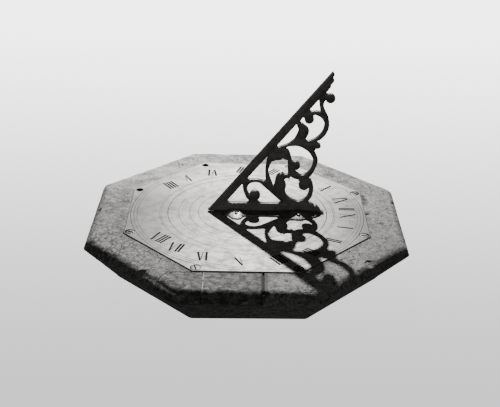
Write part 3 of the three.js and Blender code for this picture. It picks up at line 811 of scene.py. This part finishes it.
def hour_place(hour, radius):
    """Where an hour line meets a circle round the dial's middle, and the line's direction."""
    direction = hour_direction(hour)
    side = 0.0 if hour == 12 else math.copysign(3 * MM, 12 - hour)
    origin = Vector((HEEL_X, side))
    along = Vector((math.cos(direction), math.sin(direction)))
    middle = origin.dot(along)
    reach = -middle + math.sqrt(middle ** 2 - origin.length_squared + radius ** 2)
    return origin + along * reach, along


def placed(points, centre, outwards):
    up = -outwards
    right = Vector((up.y, -up.x))
    return [centre + right * p[0] + up * p[1] for p in points]


def numeral_strokes(hour):
    text = NUMERALS[hour]
    centre, outwards = hour_place(hour, NUMERAL_RADIUS)
    offsets = [0.0]
    for pair in zip(text, text[1:]):
        offsets.append(offsets[-1] + SPACE[pair] * MM)
    middle = offsets[-1] / 2
    if text == "XII":  # the noon line passes between its X and its II
        offsets = [-7 * MM, 10.2 * MM, 13.9 * MM]
        middle = 0.0
    thick, thin = [], []
    for letter, offset in zip(text, offsets):
        heavy, light = glyph(letter, offset - middle)
        thick += [placed(points, centre, outwards) for points in heavy]
        thin += [placed(points, centre, outwards) for points in light]
    return thick, thin


def half_hour_marks(hour):
    """Three drops and a dot on a half-hour line."""
    centre, outwards = hour_place(hour, 134 * MM)
    marks = []
    for turn, reach, size in ((0, 2.6, 1.0), (125, 2.3, 0.9), (-125, 2.3, 0.9), (180, 0.2, 0.5)):
        angle = math.radians(turn)
        spot = Vector((math.sin(angle) * reach * MM, -math.cos(angle) * reach * MM))
        drop = [spot + Vector((math.cos(a), math.sin(a))) * size * MM * 0.8
                for a in (i * math.pi / 4 for i in range(8))]
        marks.append(placed(drop, centre, outwards))
    return marks


def groove_cutter(shapes, depth, slot):
    """One cutter of many separate shapes. The many-sided ones narrow towards their floors."""
    bm = bmesh.new()
    for shape in shapes:
        centre = sum(shape, Vector((0, 0))) / len(shape)
        narrower = [centre + (p - centre) * 0.82 if len(shape) > 4 else p for p in shape]
        add_prism(bm, narrower, DIAL_TOP - depth, DIAL_TOP + 0.2 * MM, slot, shape)
    return link("cutter", bm, METAL, DEEP_CUT, FINE_CUT)


def circle_cutter():
    """The circles, cut by hand and worn, so that their width and depth wander."""
    bm = bmesh.new()
    count = 288
    for radius, width in CIRCLES:
        rings = []
        for i in range(count):
            angle = 2 * math.pi * i / count
            along = Vector((math.cos(angle), math.sin(angle), radius / 40))
            worn = 0.5 + 0.5 * noise.noise(along * 1.7)
            half = width * MM * (0.26 + 0.34 * worn)
            depth = (0.14 + 0.24 * worn) * MM
            corners = []
            for side, z in ((-1, 0.1 * MM), (1, 0.1 * MM), (0.35, -depth), (-0.35, -depth)):
                reach = radius * MM + side * half
                corners.append(bm.verts.new((reach * math.cos(angle), reach * math.sin(angle),
                                             DIAL_TOP + z)))
            rings.append(corners)
        for i in range(count):
            here, there = rings[i], rings[(i + 1) % count]
            for k in range(4):
                m = (k + 1) % 4
                bm.faces.new((here[k], here[m], there[m], there[k])).material_index = 2
    return link("cutter", bm, METAL, DEEP_CUT, FINE_CUT)


def straight_cuts():
    """The noon line south of the heel, and the quarter-hour ticks."""
    def line(x0, y0, x1, y1, width):
        return stroke((x0 * MM, y0 * MM), (x1 * MM, y1 * MM), width * MM)
    cuts = [line(-105, 0, -53, 0, 0.3)]
    for hour in range(4, 21):
        for quarter in (0.25, 0.5, 0.75):
            if hour + quarter < 20:
                near, along = hour_place(hour + quarter, 111.6 * MM)
                cuts.append(stroke(near, near + along * 0.9 * MM, 0.25 * MM))
    return cuts


def plate_blank():
    """The plate, its edges eased at the top and bottom."""
    bm = bmesh.new()
    levels = ((0.25, 0.0), (0.0, 0.25), (0.0, 2.45), (0.12, 2.8), (0.55, 3.0))
    rings = []
    for inset, height in levels:
        outline = octagon(PLATE_FLAT - inset * MM, PLATE_TURN, 1.2 * MM, 5)
        rings.append([bm.verts.new((x, y, plate_low.z + height * MM)) for x, y in outline])
    for lower, upper in zip(rings, rings[1:]):
        for i in range(len(lower)):
            j = (i + 1) % len(lower)
            bm.faces.new((lower[i], lower[j], upper[j], upper[i]))
    bm.faces.new(rings[0][::-1])
    bm.faces.new(rings[-1])
    return link("engraved_plate", bm, METAL, DEEP_CUT, FINE_CUT)


def dial_plate():
    plate = plate_blank()
    combine(plate, circle_cutter(), "DIFFERENCE")
    thick, thin = [], []
    for hour in NUMERALS:
        heavy, light = numeral_strokes(hour)
        thick += heavy
        thin += light
    for hour in range(4, 20):
        thick += half_hour_marks(hour + 0.5)
    combine(plate, groove_cutter(thick, CUT_DEPTH, 1), "DIFFERENCE")
    combine(plate, groove_cutter(thin, CUT_DEPTH * 0.45, 1), "DIFFERENCE")
    combine(plate, groove_cutter(straight_cuts(), CUT_DEPTH * 0.4, 2), "DIFFERENCE")
    for corner, x, y in fixing_places():
        bm = bmesh.new()
        if f"corner_screw_{corner}" in frame["nodes"]:
            profile = [(0, -3.2), (2.7, -3.2), (2.7, -2.5), (6.1, -1.2), (6.5, 0.5), (0, 0.5)]
        else:
            profile = [(0, -3.2), (4.3, -3.2), (4.3, -0.5), (5.0, 0.05), (5.0, 0.5), (0, 0.5)]
        add_turning(bm, [(r * MM, z * MM) for r, z in profile], (x, y, DIAL_TOP), 48, 1)
        combine(plate, link("cutter", bm, METAL, DEEP_CUT), "DIFFERENCE")
    for name in ("tenon_pin_south", "tenon_pin_north"):
        low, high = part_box(name)
        middle = (low.x + high.x) / 2
        bm = bmesh.new()
        x0, x1, half = middle - LUG_HALF_LENGTH, middle + LUG_HALF_LENGTH, LUG_HALF_WIDTH
        slot = [(x0, -half), (x1, -half), (x1, half), (x0, half)]
        add_prism(bm, slot, plate_low.z - 1 * MM, DIAL_TOP + 1 * MM)
        combine(plate, link("cutter", bm), "DIFFERENCE")
    finish_piece(plate, "dial_brass", "dial_plate")


dial_plate()


# ---- Screws ----

def corner_screw(node):
    low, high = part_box(node)
    x, y = (low.x + high.x) / 2, (low.y + high.y) / 2
    corner = int(node.rsplit("_", 1)[1])
    turn = (corner * 2.4) % math.pi
    profile = [(0, -26), (0.7, -25.4), (2.4, -22), (2.4, -2.5), (5.3, -0.75), (5.5, -0.5),
               (5.42, -0.2), (5.0, -0.05), (3, 0.0), (0, 0.0)]
    bm = bmesh.new()
    add_turning(bm, [(r * MM, z * MM) for r, z in profile], (x, y, high.z), 56)
    screw = link(f"slotted_{node}", bm, BRASS, DEEP_CUT)
    along = Vector((math.cos(turn), math.sin(turn)))
    a, b = Vector((x, y)) - along * 7 * MM, Vector((x, y)) + along * 7 * MM
    bm = bmesh.new()
    add_prism(bm, stroke(a, b, 1.5 * MM), high.z - 1.3 * MM, high.z + 1 * MM, 1,
              stroke(a, b, 1.9 * MM))
    combine(screw, link("cutter", bm, BRASS, DEEP_CUT), "DIFFERENCE")
    smooth(screw)
    finish_piece(screw, "screw_brass", node)


for name in sorted(frame["nodes"]):
    if name.startswith("corner_screw"):
        corner_screw(name)


# ---- Gnomon and foot ----

def edge_loops(node, axis, value):
    """Closed outlines of a CAD node's flat face at a height along one axis."""
    mesh = frame["nodes"][node].data
    keep = [i for i in range(3) if i != axis]
    uses = {}
    for polygon in mesh.polygons:
        corners = [tuple(round(c, 7) for c in mesh.vertices[v].co) for v in polygon.vertices]
        if all(abs(c[axis] - value) < 1e-6 for c in corners):
            for a, b in zip(corners, corners[1:] + corners[:1]):
                uses[(a, b)] = uses.get((a, b), 0) + 1
    onward = {}
    for a, b in uses:
        if (b, a) not in uses:
            onward.setdefault(a, []).append(b)
    loops = []
    while onward:
        start = next(iter(onward))
        loop, here = [], start
        while here in onward:
            there = onward[here].pop()
            if not onward[here]:
                del onward[here]
            loop.append(Vector([here[i] for i in keep]))
            here = there
            if here == start:
                break
        if len(loop) > 2:
            loops.append(loop)
    return loops


def refined(loop, sharp=24):
    """Doubles the points along a loop's curves, and keeps its corners and straight runs."""
    count = len(loop)
    fixed = []
    for i, here in enumerate(loop):
        back, on = here - loop[i - 1], loop[(i + 1) % count] - here
        bend = math.degrees(abs(back.angle_signed(on, 0.0)))
        longer, shorter = max(back.length, on.length), min(back.length, on.length)
        fixed.append(bend > sharp or longer > 3.5 * shorter)
    result = []
    for i, here in enumerate(loop):
        there = loop[(i + 1) % count]
        result.append(here)
        if (there - here).length < 0.5 * MM:
            continue
        before = 2 * here - there if fixed[i] else loop[i - 1]
        after = 2 * there - here if fixed[(i + 1) % count] else loop[(i + 2) % count]
        result.append((here + there) * 0.5625 - (before + after) * 0.0625)
    return result


def rounded_sheet(name, loops, half_thickness, bevel, material):
    """A flat pierced piece with rounded edges, in the XY plane."""
    curve = bpy.data.curves.new(name, "CURVE")
    curve.dimensions = "2D"
    curve.fill_mode = "BOTH"
    curve.extrude = half_thickness - bevel
    curve.bevel_depth = bevel
    curve.bevel_resolution = 1
    curve.offset = -bevel
    for loop in loops:
        spline = curve.splines.new("POLY")
        spline.points.add(len(loop) - 1)
        for point, place in zip(spline.points, loop):
            point.co = (place.x, place.y, 0, 1)
        spline.use_cyclic_u = True
    shape = bpy.data.objects.new(name, curve)
    bpy.context.scene.collection.objects.link(shape)
    graph = bpy.context.evaluated_depsgraph_get()
    mesh = bpy.data.meshes.new_from_object(shape.evaluated_get(graph))
    bpy.data.objects.remove(shape)
    bm = bmesh.new()
    bm.from_mesh(mesh)
    bmesh.ops.remove_doubles(bm, verts=bm.verts, dist=2e-6)
    return link(name, bm, material)


def gnomon():
    thickness = gnomon_high.y - gnomon_low.y
    loops = [refined(loop) for loop in edge_loops("gnomon", 1, gnomon_low.y)]
    blade = rounded_sheet("cast_gnomon", loops, thickness / 2, 0.7 * MM, BRONZE)
    blade.data.transform(Matrix.Rotation(math.pi / 2, 4, "X"))
    smooth(blade, 30)
    finish_piece(blade, "dark_bronze", "gnomon")


FOOT_EDGE = 1.3 * MM
FOOT_CROWN = 4.5 * MM
FOOT_HALF_WIDTH = 23 * MM
FOOT_CHANNEL = 1.8 * MM
RIVET_SEAT = 4.1 * MM


def foot_height(x, y, half_width):
    """The moulding's height above the dial, with a vein into every lobe of the leaf."""
    share = abs(y) / half_width
    crown = FOOT_CROWN * min(1.0, half_width / FOOT_HALF_WIDTH)
    height = FOOT_EDGE + crown * (1 - share ** 2)
    fan = math.cos((x - HEEL_X) * 2 * math.pi / (11.5 * MM) + 2.2 * share)
    vein = max(0.0, fan) ** 6 * share * (1 - share ** 6)
    cast = 0.5 + 0.5 * noise.noise(Vector((x, y, 0)) / (3.5 * MM))
    return height - 0.55 * MM * vein - 0.22 * MM * cast * (1 - share ** 8)


def foot():
    outline = max(edge_loops("gnomon_foot", 2, foot_low.z), key=len)
    side = sorted((p.x, p.y) for p in outline if p.y > 0.3 * MM)
    stations = []
    for (x0, w0), (x1, w1) in zip(side, side[1:]):
        parts = max(1, round((x1 - x0) / (0.8 * MM)))
        for part in range(parts):
            share = part / parts
            stations.append((x0 + (x1 - x0) * share, w0 + (w1 - w0) * share))
    stations.append(side[-1])
    bm = bmesh.new()
    rings = []
    for x, half_width in stations:
        rim = min(0.45 * MM, half_width * 0.3)
        ys = [(half_width - rim) * step / 16 for step in range(-16, 17)]
        section = [(-half_width + rim * 0.4, 0.0), (-half_width, 0.35 * MM),
                   (-half_width + rim * 0.15, FOOT_EDGE * 0.75)]
        section += [(y, foot_height(x, y, half_width)) for y in ys]
        section += [(-y, z) for y, z in section[2::-1]]
        rings.append([bm.verts.new((x, y, foot_low.z + z)) for y, z in section])
    count = len(rings[0])
    for here, there in zip(rings, rings[1:]):
        for i in range(count):
            j = (i + 1) % count
            bm.faces.new((here[i], there[i], there[j], here[j]))
    bm.faces.new(rings[0][::-1])
    bm.faces.new(rings[-1])
    leaf = link("leaf_foot", bm, PAINTED_LIGHT_BRONZE)
    channel = foot_low.z + FOOT_CHANNEL
    half = gnomon_high.y + 0.3 * MM
    cutters = [([(-0.2, -half), (0.2, -half), (0.2, half), (-0.2, half)], channel)]
    for name in ("tenon_pin_south", "tenon_pin_north"):
        low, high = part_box(name)
        middle = (low.x + high.x) / 2
        x0, x1 = middle - LUG_HALF_LENGTH, middle + LUG_HALF_LENGTH
        cutters.append(([(x0, -half), (x1, -half), (x1, half), (x0, half)], foot_low.z - 1 * MM))
    for plan, bottom in cutters:
        bm = bmesh.new()
        add_prism(bm, plan, bottom, foot_low.z + 20 * MM)
        combine(leaf, link("cutter", bm, BRONZE), "DIFFERENCE")
    for name in frame["nodes"]:
        if name.startswith("foot_rivet"):
            low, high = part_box(name)
            x, y = (low.x + high.x) / 2, (low.y + high.y) / 2
            for radius, bottom in ((2.9 * MM, RIVET_SEAT), (1.9 * MM, -1 * MM)):
                hole = cylinder_cutter(radius, x, y, foot_low.z + bottom, foot_low.z + 20 * MM, 32)
                combine(leaf, hole, "DIFFERENCE")
    smooth(leaf, 40)
    finish_piece(leaf, "dark_bronze", "gnomon_foot")


gnomon()
foot()

for name, node in frame["nodes"].items():
    if name.startswith("lead_plug"):
        node.data.materials[0] = LEAD
    if name.startswith("tenon_pin"):
        node.data.materials[0] = BRASS
    if name.startswith("foot_rivet"):
        node.data.materials[0] = BRONZE


# ---- Floor, light and camera ----

def floor():
    bm = bmesh.new()
    reach = 12.0
    corners = [bm.verts.new((x, y, 0)) for x, y in
               ((-reach, -reach), (reach, -reach), (reach, reach), (-reach, reach))]
    bm.faces.new(corners)
    s = Shader("pale_floor", roughness=1.0)
    s.done(grey(0.7, 0.0))
    parts = s.add("ShaderNodeSeparateXYZ")
    s.feed(parts.inputs[0], s.place)
    # Painted light: the floor glows, brighter towards the far side.
    s.surface.inputs["Emission Color"].default_value = (1, 1, 1, 1)
    s.feed(s.surface.inputs["Emission Strength"],
           s.steps(parts.outputs["Y"], -0.4, 1.2, 1.0, 4.4))
    plane = link("floor", bm, s.material)
    plane.visible_diffuse = False
    plane.visible_glossy = False
    return plane


def lamp(name, place, target, size, power):
    light = bpy.data.lights.new(name, "AREA")
    light.shape = "DISK"
    light.size = size
    light.energy = power
    obj = bpy.data.objects.new(name, light)
    obj.location = place
    obj.rotation_euler = (Vector(target) - Vector(place)).to_track_quat("-Z", "Y").to_euler()
    bpy.context.scene.collection.objects.link(obj)
    return obj


def lighting(plane):
    key = lamp("key", (22 * MM, 413 * MM, DIAL_TOP + 462 * MM), (0, 0, DIAL_TOP), 16 * MM, 9)
    on_object = bpy.data.collections.new("lit_by_key")
    for obj in bpy.context.scene.objects:
        if obj.type == "MESH" and obj is not plane:
            on_object.objects.link(obj)
    key.light_linking.receiver_collection = on_object
    # A large soft fill from the near side, for the bronze alone, which would otherwise be black.
    fill = lamp("fill", (0, -1.4, 0.75), (0, 0, DIAL_TOP + 80 * MM), 1.2, 9)
    on_bronze = bpy.data.collections.new("lit_by_fill")
    for name in ("cast_gnomon", "leaf_foot"):
        on_bronze.objects.link(bpy.data.objects[name])
    fill.light_linking.receiver_collection = on_bronze
    world = bpy.data.worlds.new("studio")
    world.use_nodes = True
    world.node_tree.nodes["Background"].inputs["Color"].default_value = (1, 1, 1, 1)
    world.node_tree.nodes["Background"].inputs["Strength"].default_value = 0.06
    bpy.context.scene.world = world


def camera():
    """A portrait lens a little over a metre away, looking down along the noon line's side."""
    azimuth, elevation, roll = math.radians(-0.21), math.radians(26.34), math.radians(1.21)
    distance = 1246.7 * MM
    target = Vector((3.39 * MM, 28.22 * MM, STONE_TOP - 1.1 * MM))
    back = Vector((math.sin(azimuth) * math.cos(elevation),
                   -math.cos(azimuth) * math.cos(elevation), math.sin(elevation)))
    data = bpy.data.cameras.new("camera")
    data.lens = 942.83 / 500 * data.sensor_width
    obj = bpy.data.objects.new("camera", data)
    obj.location = target + back * distance
    look = (-back).to_track_quat("-Z", "Y").to_matrix().to_4x4()
    obj.rotation_euler = (look @ Matrix.Rotation(roll, 4, "Z")).to_euler()
    bpy.context.scene.collection.objects.link(obj)
    bpy.context.scene.camera = obj


lighting(floor())
camera()
